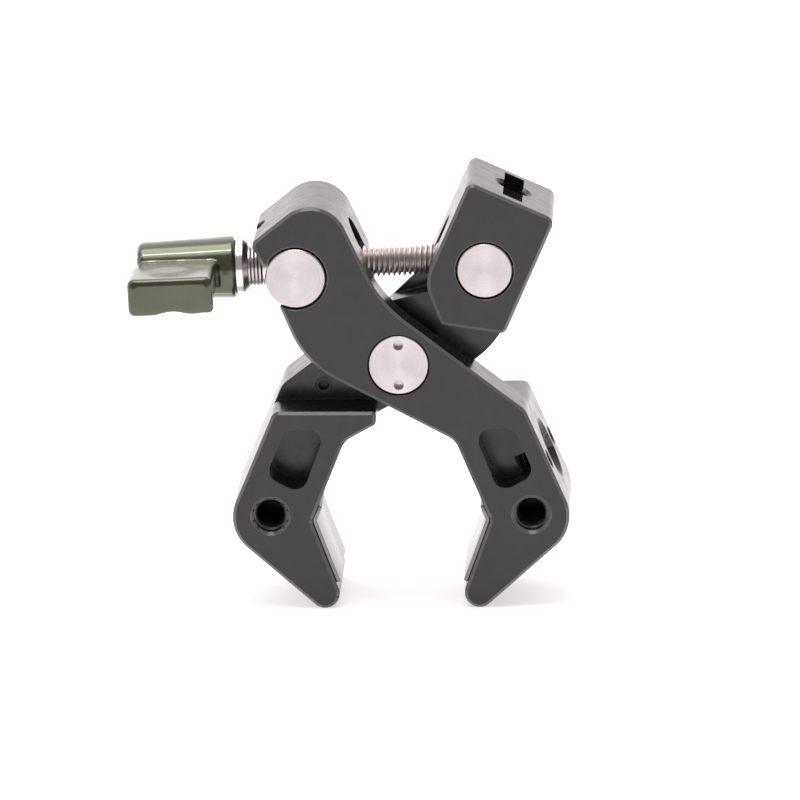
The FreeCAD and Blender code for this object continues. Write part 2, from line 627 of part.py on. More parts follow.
def barrel(label, radius, hole, x, z):
    """A cross pin with broken ends and a hole along the screw line; the origin is on its own axis."""
    edge = cell("barrel_chamfer")
    solids = [
        cylinder(label + "_body", radius, f"Sizes.width - 2 * {edge}", y=f"{FRONT} + {edge}"),
        cone(label + "_front", f"{radius} - {edge}", radius, edge, y=FRONT),
        cone(label + "_rear", radius, f"{radius} - {edge}", edge, y=f"{BACK} - {edge}"),
    ]
    pin = fuse(label + "_solids", solids)
    tools = [line_cylinder(label + "_hole", hole, f"-{radius} - 1", f"{radius} + 1")]
    if label == "swivel_barrel":
        tools.append(line_cylinder("spot_face", cell("spot_face_radius"), "Sizes.seat_end_s - 2",
                                   cell("seat_end_s")))
    bored = cut(label + "_cut", pin, fuse(label + "_tools", tools) if len(tools) > 1 else tools[0])
    bored.Placement = FreeCAD.Placement(Vector(), FreeCAD.Rotation(-Y_AXIS, size("screw_tilt")))
    bind(bored, Base_x=x, Base_z=z)
    return finish(bored, label)


def clamp_screw():
    """The main screw, at its major radius, with a broken end and a hole for the collar's pin."""
    radius, edge = cell("screw_radius"), cell("screw_chamfer")
    body = fuse("screw_solids", [
        line_cylinder("screw_body", radius, cell("screw_start_s"), f"Sizes.screw_end_s - {edge}"),
        cone("screw_end", radius, f"{radius} - {edge}", edge, X_AXIS, x=f"Sizes.screw_end_s - {edge}"),
    ])
    return finish(on_screw_line(cut("screw_cut", body, collar_pin_hole("screw"))), "clamp_screw")


def collar_pin_hole(owner):
    return cylinder(owner + "_pin_hole", cell("collar_pin_hole"), cell("width"), Y_AXIS,
                    cell("collar_pin_s"), FRONT)


def retaining_collar():
    """Collar behind the swivel barrel, so that unwinding the screw pushes the jaws open."""
    blank = ring("collar", cell("collar_radius"), cell("collar_bore"),
                 cell("collar_start_s"), cell("collar_end_s"))
    return finish(on_screw_line(cut("collar_cut", blank, collar_pin_hole("collar"))), "retaining_collar")


def collar_pin():
    half = cell("collar_pin_half")
    pin = cylinder("collar_pin_body", cell("collar_pin_radius"), f"2 * {half}", Y_AXIS,
                   cell("collar_pin_s"), f"-{half}")
    return finish(on_screw_line(compound("collar_pin_placed", [pin])), "collar_pin")


def washer(label, key, bore):
    """A flat ring on the screw line, from the sheet's rows that begin with the key."""
    end = cell(key + "_end_s") + " - Sizes.bond_gap"
    return finish(on_screw_line(ring(label, cell(key + "_radius"), bore, cell(key + "_start_s"), end)), label)


def dome_washer():
    """Dished cap over the spring washers, wider on the lever's side."""
    start, end = cell("dome_start_s"), cell("dome_end_s")
    dome = cone("dome_outside", cell("dome_radius"), cell("dome_tip_radius"), f"{end} - {start}",
                X_AXIS, x=start)
    hole = line_cylinder("dome_hole", cell("disc_bore"), f"{start} - 1", f"{end} + 1")
    return finish(on_screw_line(cut("dome_cut", dome, hole)), "dome_washer")


def disc_springs():
    """A stack of conical spring washers between the dome and the seat washer."""
    radius, bore, rise = cell("disc_radius"), cell("disc_bore"), cell("disc_cone")
    discs = []
    for i in range(int(size("disc_count"))):
        name = f"disc_{i + 1}"
        start = f"Sizes.disc_start_s + {i} * Sizes.disc_pitch"
        face = start + " + Sizes.disc_plate"
        outside = fuse(name + "_outside", [
            line_cylinder(name + "_rim", radius, start, face),
            cone(name + "_crown", radius, bore, rise, X_AXIS, x=face),
        ])
        inside = fuse(name + "_inside", [
            cone(name + "_dish", radius, bore, rise, X_AXIS, x=start),
            line_cylinder(name + "_bore", bore, f"{start} - 1", f"{face} + 1"),
        ])
        discs.append(cut(name, outside, inside))
    return finish(on_screw_line(compound("disc_stack", discs)), "disc_springs")


def lever():
    """Handle barrel with a wide hub and one flat wing that reaches forwards."""
    start, hub_start = cell("lever_start_s"), cell("hub_start_s")
    neck, splines = cell("neck_end_s"), cell("spline_end_s")
    solids = [
        cone("lever_barrel", cell("lever_end_radius"), cell("lever_radius"), f"{hub_start} - {start}",
             X_AXIS, x=start),
        line_cylinder("lever_hub", cell("hub_radius"), hub_start, cell("hub_end_s")),
        prism("lever_wing", WING, "-Sizes.wing_reach", "0"),
    ]
    bores = [
        line_cylinder("lever_spline_bore", cell("spline_radius"), splines, "Sizes.hub_end_s + 1"),
        line_cylinder("lever_neck_bore", cell("neck_radius"), f"{neck} - 1", f"{splines} + 1"),
        line_cylinder("lever_spring_bore", cell("spring_bore_radius"), f"{start} - 1", neck),
    ]
    handle = cut("lever_cut", fuse("lever_solids", solids), fuse("lever_bores", bores))
    return finish(on_screw_line(handle), "lever")


def lever_insert():
    """Steel core fixed on the screw; the lever's splines lock onto it."""
    start, end = cell("insert_start_s"), cell("insert_end_s")
    body = line_cylinder("insert_body", cell("insert_radius"), start, end)
    bores = fuse("insert_bores", [
        line_cylinder("insert_screw_bore", cell("insert_bore"), "Sizes.screw_start_s - 0.1", f"{end} + 1"),
        line_cylinder("insert_tapped_hole", cell("lever_screw_hole"), f"{start} - 1", f"{end} - 1"),
    ])
    return finish(on_screw_line(cut("insert_cut", body, bores)), "lever_insert")


def lever_screw():
    """Cap screw that holds the lever and its spring on the core."""
    head_start, head_end = cell("lever_screw_head_start_s"), cell("lever_screw_head_end_s")
    body = fuse("lever_screw_solids", [
        line_cylinder("lever_screw_shank", cell("lever_screw_radius"), f"{head_end} - 1",
                      cell("lever_screw_tip_s")),
        line_cylinder("lever_screw_cap", cell("lever_screw_head"), head_start, head_end),
    ])
    socket = hexagon("lever_screw_key", cell("lever_screw_socket"), cell("lever_screw_socket_depth"), X_AXIS,
                     head_start)
    return finish(on_screw_line(cut("lever_screw_cut", body, socket)), "lever_screw")


def lever_spring():
    """Open coil spring around the lever's screw; a swept coil, so its shape is set by code."""
    start = size("spring_start_s")
    wire = size("spring_wire")
    height = size("spring_end_s") - start - 2 * wire
    coil = Part.Wire(Part.makeHelix(height / size("spring_turns"), height, size("spring_radius")))
    section = Part.Wire(Part.makeCircle(wire, Vector(size("spring_radius"), 0, 0), Y_AXIS))
    solid = coil.makePipeShell([section], True, True)
    solid.Placement = FreeCAD.Placement(Vector(start + wire, 0, 0), FreeCAD.Rotation(Z_AXIS, X_AXIS))
    spring = doc.addObject("Part::Feature", "lever_spring_coil")
    spring.Shape = Part.makeCompound([solid])
    return finish(on_screw_line(spring), "lever_spring")


def export():
    """Check every object and every sub-part, then write one STEP file for each."""
    doc.recompute()
    faults = [thing.Name for thing in doc.Objects if {"Invalid", "Error"} & set(thing.State)]
    for thing in subparts:
        if thing.Shape.isNull() or not thing.Shape.isValid():
            faults.append(thing.Label)
    if faults:
        raise RuntimeError("not built: " + ", ".join(faults))
    os.makedirs("parts", exist_ok=True)
    for thing in subparts:
        thing.Shape.exportStep(os.path.join("parts", thing.Label + ".step"))


fill_sheet()
front_arm()
rear_arm()
jaw_pad("right_jaw_pad", RIGHT)
jaw_pad("left_jaw_pad", LEFT)
pivot_bolt()
pivot_nut()
BUSH_FRONT = WEB_FRONT + " + Sizes.washer_pocket + Sizes.bond_gap"
sleeve("pivot_bush", cell("bush_radius"), cell("bush_bore"),
       f"Sizes.width / 2 - Sizes.pivot_nut - Sizes.bush_end_gap - ({BUSH_FRONT})", BUSH_FRONT)
sleeve("thrust_washer", cell("washer_radius"), cell("washer_bore"), cell("washer"),
       CHEEK_BACK + " + Sizes.bond_gap")
stop_screw()
barrel("swivel_barrel", cell("swivel_radius"), cell("screw_hole_radius"), cell("swivel_x"), cell("swivel_z"))
barrel("nut_barrel", cell("nut_radius"), cell("nut_hole_radius"), cell("nut_x"), cell("nut_z"))
clamp_screw()
retaining_collar()
collar_pin()
washer("seat_washer", "seat", cell("screw_hole_radius"))
disc_springs()
dome_washer()
washer("flange_washer", "flange", cell("disc_bore"))
washer("hub_ring", "ring", cell("disc_bore"))
lever()
lever_insert()
lever_screw()
lever_spring()
export()
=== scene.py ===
"""The super clamp's looks: materials, the threads, the sculpted lever and the jaw pads.

Everything is in metres, in the CAD's frame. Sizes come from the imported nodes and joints.
"""

import json
import math

import bmesh
import bpy
from mathutils import Matrix, Quaternion, Vector


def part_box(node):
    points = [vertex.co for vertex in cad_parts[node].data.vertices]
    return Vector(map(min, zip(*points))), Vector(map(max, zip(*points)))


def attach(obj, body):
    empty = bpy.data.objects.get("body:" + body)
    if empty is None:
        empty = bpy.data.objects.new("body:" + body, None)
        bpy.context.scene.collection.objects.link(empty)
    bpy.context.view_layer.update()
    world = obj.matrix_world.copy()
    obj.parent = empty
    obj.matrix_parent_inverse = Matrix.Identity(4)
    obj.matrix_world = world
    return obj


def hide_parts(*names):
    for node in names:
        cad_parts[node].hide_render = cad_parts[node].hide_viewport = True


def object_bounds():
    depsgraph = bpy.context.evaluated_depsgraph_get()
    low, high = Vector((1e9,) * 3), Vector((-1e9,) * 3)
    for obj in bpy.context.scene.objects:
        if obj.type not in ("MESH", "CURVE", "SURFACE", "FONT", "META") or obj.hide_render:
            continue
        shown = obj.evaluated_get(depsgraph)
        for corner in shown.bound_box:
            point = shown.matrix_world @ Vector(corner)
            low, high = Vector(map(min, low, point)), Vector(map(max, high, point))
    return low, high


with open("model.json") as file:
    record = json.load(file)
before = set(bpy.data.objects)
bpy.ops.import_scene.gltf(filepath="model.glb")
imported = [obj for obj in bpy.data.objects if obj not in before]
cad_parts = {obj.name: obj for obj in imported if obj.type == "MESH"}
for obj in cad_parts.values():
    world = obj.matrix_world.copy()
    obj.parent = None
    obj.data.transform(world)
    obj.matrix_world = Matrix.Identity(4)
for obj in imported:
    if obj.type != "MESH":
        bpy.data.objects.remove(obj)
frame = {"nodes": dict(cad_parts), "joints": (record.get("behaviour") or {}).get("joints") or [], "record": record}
CAD_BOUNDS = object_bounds()
MM = 0.001
NODES = frame["nodes"]
JOINTS = {joint["name"]: joint for joint in frame["joints"]}

# The screw line: local X runs along the screw from the swivel's axis, and local Z is up.
SPIN = JOINTS["screw_spin"]
LINE_X = Vector(SPIN["axis"])
LINE_Y = Vector((0, 1, 0))
LINE_Z = LINE_X.cross(LINE_Y)
SCREW_LINE = Matrix.Translation(SPIN["pos_m"]) @ Matrix((LINE_X, LINE_Y, LINE_Z)).transposed().to_4x4()


def along_line(node):
    """The first and last place of a node along the screw line, from the swivel's axis."""
    to_line = SCREW_LINE.inverted()
    places = [(to_line @ vertex.co).x for vertex in NODES[node].data.vertices]
    return min(places), max(places)


def off_line(node):
    """The largest radius of a node about the screw line."""
    to_line = SCREW_LINE.inverted()
    return max((to_line @ vertex.co).yz.length for vertex in NODES[node].data.vertices)


# ---------------------------------------------------------------- materials

def spread(tree, source, start, end, low, high, curve="LINEAR"):
    """A value carried from one range to another and held at its ends."""
    carried = tree.nodes.new("ShaderNodeMapRange")
    carried.interpolation_type = curve
    for label, value in (("From Min", start), ("From Max", end), ("To Min", low), ("To Max", high)):
        carried.inputs[label].default_value = value
    tree.links.new(source, carried.inputs["Value"])
    return carried.outputs["Result"]


class Shader:
    """A principled material with short calls for adding nodes."""

    def __init__(self, name, roughness, metallic=0.0, **inputs):
        self.material = bpy.data.materials.new(name)
        self.material.use_nodes = True
        self.tree = self.material.node_tree
        self.bsdf = self.tree.nodes["Principled BSDF"]
        self.bsdf.inputs["Roughness"].default_value = roughness
        self.bsdf.inputs["Metallic"].default_value = metallic
        for label, value in inputs.items():
            self.bsdf.inputs[label.replace("_", " ")].default_value = value
        self.place = self.node("ShaderNodeTexCoord").outputs["Object"]

    def node(self, kind, **settings):
        made = self.tree.nodes.new(kind)
        for key, value in settings.items():
            setattr(made, key, value)
        return made

    def link(self, output, target):
        self.tree.links.new(output, target)

    def stretched(self, scale):
        """Object coordinates scaled on each axis, for grain that runs one way."""
        mapping = self.node("ShaderNodeMapping")
        mapping.inputs["Scale"].default_value = scale
        self.link(self.place, mapping.inputs["Vector"])
        return mapping.outputs["Vector"]

    def noise(self, size, detail=3.0, vector=None):
        """Noise with features of a size in metres."""
        noise = self.node("ShaderNodeTexNoise")
        noise.inputs["Scale"].default_value = 1 / size
        noise.inputs["Detail"].default_value = detail
        self.link(vector or self.place, noise.inputs["Vector"])
        return noise.outputs["Fac"]

    def ranged(self, factor, low, high):
        """A noise factor, which mostly lies between 0.3 and 0.7, spread between two numbers."""
        return spread(self.tree, factor, 0.3, 0.7, low, high)

    def mixed(self, factor, first, second):
        """A colour between two colours; each may also be a socket."""
        mix = self.node("ShaderNodeMix", data_type="RGBA")
        self.link(factor, mix.inputs["Factor"])
        for socket, colour in (("A", first), ("B", second)):
            target = next(s for s in mix.inputs if s.name == socket and s.type == "RGBA")
            if isinstance(colour, tuple):
                target.default_value = (*colour, 1)
            else:
                self.link(colour, target)
        return next(s for s in mix.outputs if s.type == "RGBA")

    def edge_wear_and_highlight(self, radius, low=0.05, high=0.35):
        """A factor that is 1 on edges, where the true and rounded normals differ, and the rounded normal. The
        factor serves both as edge wear and as a painted highlight along edges.
        """
        bevel = self.node("ShaderNodeBevel", samples=4)
        bevel.inputs["Radius"].default_value = radius
        geometry = self.node("ShaderNodeNewGeometry")
        dot = self.node("ShaderNodeVectorMath", operation="DOT_PRODUCT")
        self.link(bevel.outputs["Normal"], dot.inputs[0])
        self.link(geometry.outputs["Normal"], dot.inputs[1])
        edge_wear_and_sheen = spread(self.tree, dot.outputs["Value"], 1 - low, 1 - high, 0, 1)
        return edge_wear_and_sheen, bevel.outputs["Normal"]

    def chamfer_highlight(self):
        """A factor that is 1 on faces at 45 degrees to the front: the machined chamfers and countersinks, which it
        marks for a painted highlight.
        """
        geometry = self.node("ShaderNodeNewGeometry")
        split = self.node("ShaderNodeSeparateXYZ")
        self.link(geometry.outputs["True Normal"], split.inputs["Vector"])
        lean = self.node("ShaderNodeMath", operation="ABSOLUTE")
        self.link(split.outputs["Y"], lean.inputs[0])
        at_chamfer = self.node("ShaderNodeMath", operation="COMPARE")
        at_chamfer.inputs[1].default_value = math.sqrt(0.5)
        at_chamfer.inputs[2].default_value = 0.02
        self.link(lean.outputs["Value"], at_chamfer.inputs[0])
        return at_chamfer.outputs["Value"]

    def bump(self, height, depth, strength, normal=None):
        bump = self.node("ShaderNodeBump")
        bump.inputs["Strength"].default_value = strength
        bump.inputs["Distance"].default_value = depth
        self.link(height, bump.inputs["Height"])
        if normal is not None:
            self.link(normal, bump.inputs["Normal"])
        self.link(bump.outputs["Normal"], self.bsdf.inputs["Normal"])

    def colour(self, socket):
        self.link(socket, self.bsdf.inputs["Base Color"])

    def roughness(self, socket):
        self.link(socket, self.bsdf.inputs["Roughness"])


def anodised(name, dark, light, edge, roughness, metallic, **inputs):
    """Bead-blasted, anodised aluminium: a fine grain, faint clouds and paler edges, which are partly rubbed wear
    and partly a painted highlight on edges, chamfers and countersinks.
    """
    shader = Shader(name, roughness, metallic, **inputs)
    clouds = shader.noise(9 * MM)
    # The edge factor, broken up by noise, paints the edge colour as partly rubbed wear and partly a highlight
    # along the edges.
    edge_wear_and_sheen, rounded = shader.edge_wear_and_highlight(0.28 * MM, 0.02, 0.14)
    patchy_wear_and_sheen = shader.node("ShaderNodeMath", operation="MULTIPLY")
    shader.link(edge_wear_and_sheen, patchy_wear_and_sheen.inputs[0])
    shader.link(shader.ranged(shader.noise(1.6 * MM, 5.0), 0.2, 0.7), patchy_wear_and_sheen.inputs[1])
    # Painted highlight: every chamfer and countersink also takes the paler edge colour.
    paler_wear_and_highlight = shader.node("ShaderNodeMath", operation="MAXIMUM")
    shader.link(patchy_wear_and_sheen.outputs["Value"], paler_wear_and_highlight.inputs[0])
    shader.link(shader.chamfer_highlight(), paler_wear_and_highlight.inputs[1])
    body = shader.mixed(shader.ranged(clouds, 0, 1), dark, light)
    shader.colour(shader.mixed(paler_wear_and_highlight.outputs["Value"], body, edge))
    shader.roughness(shader.ranged(shader.noise(2.5 * MM, 4.0), roughness - 0.05, roughness + 0.05))
    shader.bump(shader.noise(0.09 * MM, 2.0), 0.004 * MM, 0.5, rounded)
    return shader.material


def turned(name, colour, shade, roughness, grain=0.12):
    """Turned metal: fine tool lines, from noise stretched along Y, and faint stains."""
    shader = Shader(name, roughness, 1.0)
    _, rounded = shader.edge_wear_and_highlight(0.12 * MM)
    stains = shader.noise(4 * MM, 4.0)
    shader.colour(shader.mixed(shader.ranged(stains, 0, 1), colour, shade))
    lines = shader.noise(0.5 * MM, 4.0, shader.stretched((4.0, 0.25, 4.0)))
    shader.roughness(shader.ranged(lines, roughness * 0.75, roughness * 1.3))
    shader.bump(lines, 0.003 * MM, grain, rounded)
    return shader.material


def faced_pin(name, centre):
    """A pin whose end is faced in a lathe: concentric rings about an axis along Y at a place in X and Z."""
    roughness = 0.25
    shader = Shader(name, roughness, 1.0, Anisotropic=0.75)
    _, rounded = shader.edge_wear_and_highlight(0.15 * MM)
    offset = shader.node("ShaderNodeMapping")
    offset.inputs["Location"].default_value = (-centre.x, 0, -centre.z)
    shader.link(shader.place, offset.inputs["Vector"])
    flat = shader.node("ShaderNodeMapping")
    flat.inputs["Scale"].default_value = (1, 0, 1)
    shader.link(offset.outputs["Vector"], flat.inputs["Vector"])
    radius = shader.node("ShaderNodeVectorMath", operation="LENGTH")
    shader.link(flat.outputs["Vector"], radius.inputs[0])
    rings = shader.node("ShaderNodeTexNoise", noise_dimensions="1D")
    rings.inputs["Scale"].default_value = 1 / (0.12 * MM)
    rings.inputs["Detail"].default_value = 2.0
    shader.link(radius.outputs["Value"], rings.inputs["W"])
    tangent = shader.node("ShaderNodeVectorMath", operation="CROSS_PRODUCT")
    tangent.inputs[1].default_value = (0, 1, 0)
    shader.link(flat.outputs["Vector"], tangent.inputs[0])
    shader.link(tangent.outputs["Vector"], shader.bsdf.inputs["Tangent"])
    stains = shader.ranged(shader.noise(3 * MM, 3.0), 0, 1)
    shader.colour(shader.mixed(stains, (0.62, 0.58, 0.58), (0.56, 0.52, 0.52)))
    shader.roughness(shader.ranged(rings.outputs["Fac"], roughness - 0.07, roughness + 0.07))
    shader.bump(rings.outputs["Fac"], 0.002 * MM, 0.15, rounded)
    return shader.material


def rubber(name, colour, light):
    """Smooth moulded rubber with a faint grain and dust."""
    roughness = 0.2
    shader = Shader(name, roughness, Specular_IOR_Level=1.0, IOR=1.9)
    grain = shader.noise(0.35 * MM, 3.0)
    dust = shader.ranged(shader.noise(3 * MM, 5.0), 0, 1)
    shader.colour(shader.mixed(dust, colour, light))
    shader.roughness(shader.ranged(grain, roughness - 0.05, roughness + 0.05))
    shader.bump(grain, 0.005 * MM, 0.3)
    return shader.material


def plastic(name, colour, light, roughness):
    shader = Shader(name, roughness)
    shader.colour(shader.mixed(shader.ranged(shader.noise(2 * MM, 4.0), 0, 1), colour, light))
    shader.roughness(shader.ranged(shader.noise(0.8 * MM), roughness - 0.08, roughness + 0.08))
    shader.bump(shader.noise(0.15 * MM), 0.004 * MM, 0.4)
    return shader.material


def centre_of(node):
    low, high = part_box(node)
    return (low + high) / 2


# The third colour of each anodising is the paler edge colour: partly rubbed wear, partly a painted highlight on
# edges, chamfers and countersinks.
BLACK = anodised("arm_anodising", (0.008, 0.008, 0.009), (0.011, 0.010, 0.011), (0.12, 0.115, 0.115),
                 roughness=0.24, metallic=0.0, Specular_IOR_Level=0.6)
OLIVE = anodised("lever_anodising", (0.074, 0.082, 0.052), (0.094, 0.103, 0.067), (0.30, 0.31, 0.24),
                 roughness=0.22, metallic=0.85, Coat_Weight=0.8, Coat_Roughness=0.12)
# The thread colour is much paler than the arms' black anodising: painted light, so the threads show inside the
# shaded tapped holes.
THREAD_BLACK = turned("thread_anodising", (0.10, 0.11, 0.11), (0.15, 0.16, 0.16), 0.30)
STEEL = turned("turned_steel", (0.74, 0.71, 0.70), (0.62, 0.59, 0.58), 0.25)
SCREW_STEEL = turned("screw_steel", (0.85, 0.80, 0.76), (0.72, 0.67, 0.64), 0.34)
SPRING_STEEL = turned("spring_steel", (0.66, 0.63, 0.62), (0.52, 0.49, 0.48), 0.28)
CHROME = turned("chrome_plate", (0.86, 0.84, 0.83), (0.78, 0.76, 0.75), 0.20, 0.05)
BLACK_STEEL = turned("black_oxide", (0.05, 0.05, 0.05), (0.08, 0.08, 0.08), 0.35)
BRONZE = turned("sintered_bronze", (0.52, 0.36, 0.19), (0.40, 0.27, 0.15), 0.40, 0.4)
BLACK_PLASTIC = plastic("black_plastic", (0.015, 0.015, 0.015), (0.03, 0.03, 0.03), 0.5)
PAD_RUBBER = rubber("pad_rubber", (0.020, 0.019, 0.019), (0.032, 0.031, 0.031))

NODE_MATERIALS = {
    "front_arm": BLACK, "rear_arm": BLACK,
    "swivel_barrel": faced_pin("swivel_steel", centre_of("swivel_barrel")),
    "nut_barrel": faced_pin("nut_steel", centre_of("nut_barrel")),
    "pivot_bolt": faced_pin("bolt_steel", Vector((0, 0, 0))),
    "pivot_nut": faced_pin("pivot_nut_steel", Vector((0, 0, 0))),
    "pivot_bush": BRONZE, "thrust_washer": BLACK_PLASTIC, "stop_screw": BLACK_STEEL,
    "retaining_collar": STEEL, "collar_pin": STEEL, "seat_washer": STEEL, "lever_insert": STEEL,
    "disc_springs": SPRING_STEEL, "dome_washer": SPRING_STEEL, "flange_washer": CHROME,
    "hub_ring": BLACK_PLASTIC, "lever_screw": BLACK_STEEL, "lever_spring": SPRING_STEEL,
}


def dress_nodes():
    for node, material in NODE_MATERIALS.items():
        NODES[node].data.materials.clear()
        NODES[node].data.materials.append(material)


# ---------------------------------------------------------------- mesh helpers

def mesh_piece(name, vertices, faces, material, smooth=True):
    mesh = bpy.data.meshes.new(name)
    mesh.from_pydata([tuple(v) for v in vertices], [], faces)
    mesh.validate()
    mesh.update()
    mesh.materials.append(material)
    mesh.polygons.foreach_set("use_smooth", [smooth] * len(mesh.polygons))
    piece = bpy.data.objects.new(name, mesh)
    bpy.context.scene.collection.objects.link(piece)
    return piece


def lathe(profile, segments=64):
    """Vertices and faces of a closed profile of (place, radius) pairs turned about the local X axis."""
    vertices, faces = [], []
    rows = len(profile)
    for place, radius in profile:
        for step in range(segments):
            angle = math.tau * step / segments
            vertices.append(Vector((place, radius * math.sin(angle), radius * math.cos(angle))))
    for row in range(rows):
        for step in range(segments):
            following = (step + 1) % segments
            below = (row + 1) % rows
            faces.append((row * segments + step, row * segments + following,
                          below * segments + following, below * segments + step))
    return vertices, faces


def helix_sheath(start, end, root, crest, pitch, steps=48):
    """A right-hand V thread about the local X axis, faded into its root radius at both ends."""
    profile = ((0.00, root), (0.12, root), (0.44, crest), (0.56, crest), (0.88, root))
    fade = 0.8 * pitch
    turns = int((end - start) / pitch) - 1
    vertices, faces = [], []
    columns = len(profile)
    total = turns * steps
    for step in range(total + 1):
        angle = math.tau * step / steps
        for share, radius in profile:
            place = start + pitch * (step / steps + share)
            near_end = min(place - start, end - place) / fade
            radius = root + (radius - root) * max(0.0, min(1.0, near_end))
            vertices.append(Vector((place, radius * math.sin(angle), radius * math.cos(angle))))
    for step in range(total):
        for column in range(columns - 1):
            first = step * columns + column
            faces.append((first, first + 1, first + columns + 1, first + columns))
        if step + 1 + steps <= total:
            last = step * columns + columns - 1
            turn = steps * columns
            next_turn = last - columns + 1 + turn
            faces.append((last, next_turn, next_turn + columns, last + columns))
    return vertices, faces


def placed(vertices, matrix):
    return [matrix @ vertex for vertex in vertices]


def joined(*parts):
    vertices, faces = [], []
    for part_vertices, part_faces in parts:
        offset = len(vertices)
        vertices += part_vertices
        faces += [tuple(index + offset for index in face) for face in part_faces]
    return vertices, faces


def applied(piece):
    """Bake the piece's modifiers into its mesh."""
    graph = bpy.context.evaluated_depsgraph_get()
    baked = bpy.data.meshes.new_from_object(piece.evaluated_get(graph))
    piece.modifiers.clear()
    piece.data = baked


# ---------------------------------------------------------------- threads

# Depths of a thread, in pitches, and how far its foot is sunk into the metal.
OUTSIDE_DEPTH, INSIDE_DEPTH = 0.61, 0.54
THREAD_SINK = 0.01 * MM


def clamp_screw():
    """M6 rolled thread from end to end, on a core with broken ends."""
    start, end = along_line("clamp_screw")
    crest = off_line("clamp_screw")
    pitch = 1.0 * MM
    root = crest - OUTSIDE_DEPTH * pitch
    edge = 0.6 * MM
    core = [(start, 0.0), (start, root - edge / 2), (start + edge / 2, root), (end - edge, root),
            (end, root - edge), (end, 0.0)]
    thread = helix_sheath(start + edge, end - edge / 2, root - THREAD_SINK, crest, pitch)
    mesh = joined(lathe(core, 48), thread)
    piece = mesh_piece("screw_thread", placed(mesh[0], SCREW_LINE), mesh[1], SCREW_STEEL)
    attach(piece, "screw")
    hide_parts("clamp_screw")


def bore_wall(node, mount):
    """The first and last place of a mount's round wall along its axis, from the mount's position."""
    axis, position = Vector(mount["axis"]), Vector(mount["pos_m"])
    radius = mount["dims"]["r_mm"] * MM
    reach = 1.5 * mount["dims"]["length_mm"] * MM
    places = []
    for vertex in NODES[node].data.vertices:
        offset = vertex.co - position
        place = offset.dot(axis)
        if abs(place) < reach and abs((offset - axis * place).length - radius) < 0.01 * MM:
            places.append(place)
    return min(places), max(places)


def tapped_thread(name, mount, body, pitch):
    """The ridge of an internal thread, lining a tapped hole of the frame."""
    radius = mount["dims"]["r_mm"] * MM
    start, end = bore_wall(body, mount)
    out = Vector(mount["axis"])
    side = out.orthogonal().normalized()
    turn = Matrix((out, side, out.cross(side))).transposed().to_4x4()
    vertices, faces = helix_sheath(start, end, radius + 2 * THREAD_SINK, radius - INSIDE_DEPTH * pitch, pitch)
    piece = mesh_piece(name, placed(vertices, Matrix.Translation(mount["pos_m"]) @ turn), faces, THREAD_BLACK)
    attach(piece, body)


def accessory_threads():
    mounts = {mount["name"]: mount for mount in frame["record"]["mounts"]}
    inch = 25.4 * MM
    for name, body, threads_per_inch in (("right_jaw_thread", "front_arm", 20),
                                         ("left_jaw_thread", "rear_arm", 20),
                                         ("side_thread", "front_arm", 16)):
        tapped_thread(name, mounts[name], body, inch / threads_per_inch)


# ---------------------------------------------------------------- lever

def rounded_section(low, high, radius, y, points=6):
    """A rounded rectangle in the plane of the screw line and up, at a depth along Y."""
    centres = ((high[0] - radius, high[1] - radius, 0), (low[0] + radius, high[1] - radius, 90),
               (low[0] + radius, low[1] + radius, 180), (high[0] - radius, low[1] + radius, 270))
    ring = []
    for centre_s, centre_h, first in centres:
        for point in range(points):
            angle = math.radians(first + 90 * point / (points - 1))
            ring.append(Vector((centre_s + radius * math.cos(angle), y, centre_h + radius * math.sin(angle))))
    return ring


def loft(rings):
    """Skin a row of rings of equal length, with flat ends."""
    count = len(rings[0])
    vertices = [vertex for ring in rings for vertex in ring]
    faces = [tuple(range(count)), tuple(reversed(range(len(vertices) - count, len(vertices))))]
    for row in range(len(rings) - 1):
        for step in range(count):
            following = (step + 1) % count
            faces.append((row * count + step, (row + 1) * count + step,
                          (row + 1) * count + following, row * count + following))
    return vertices, faces


def smooth_step(value):
    value = max(0.0, min(1.0, value))
    return value * value * (3 - 2 * value)


def lever_wing(start, end, reach, top, bottom):
    """A flat-topped thumb wing that is hollowed underneath between the barrel and the front bar."""
    root = 4.3 * MM
    bar = 4.0 * MM
    bar_slope = 2.2 * MM
    web_depth = 0.62
    flare = 5.0 * MM
    nose = 1.3 * MM
    stations = 48
    rings = []
    for station in range(stations + 1):
        y = root + (reach - root) * station / stations
        into_bar = smooth_step((y - (reach - bar)) / bar_slope)
        neck_left = 1 - smooth_step((y - root) / flare)
        lower = bottom * (web_depth + (1 - web_depth) * into_bar)
        to_tip = max(0.0, (y - (reach - nose)) / nose)
        shrink = nose * (1 - math.sqrt(max(0.0, 1 - to_tip ** 2)))
        low = (start + neck_left * 1.0 * MM + shrink, lower + shrink)
        high = (end + neck_left * 0.7 * MM - shrink * 0.8, top - shrink * 0.8)
        radius = min(nose, (high[1] - low[1]) * 0.45)
        rings.append(rounded_section(low, high, radius, -y))
    return loft(rings)


def hollow(along, centre, half_width):
    """A smooth 0 to 1 dip that is 1 at its centre."""
    share = (along - centre) / half_width
    return 0.5 + 0.5 * math.cos(math.pi * share) if abs(share) < 1 else 0.0


def press_hollows(piece, start, end, reach, top, bottom):
    """A shallow thumb dish in the wing's flat top, and finger hollows under the bar."""
    length = end - start
    barrel_share = 0.25
    dish_depth, hollow_depth = 0.3 * MM, 1.0 * MM
    for vertex in piece.data.vertices:
        outwards = -vertex.co.y / reach
        if outwards < barrel_share:
            continue
        place = (vertex.co.x - start) / length
        dish = hollow(place, 0.48, 0.36) * hollow(outwards, 0.66, 0.30)
        waves = 0.62 * hollow(place, 0.50, 0.26) + 0.18 * hollow(place, 0.86, 0.16)
        vertex.co.z -= dish_depth * dish * smooth_step(vertex.co.z / top)
        vertex.co.z += hollow_depth * waves * smooth_step(vertex.co.z / bottom)


def off_line_radius(corners, place):
    """The radius of a part's end face about the screw line."""
    return max(corner.yz.length for corner in corners if abs(corner.x - place) < 0.1 * MM)


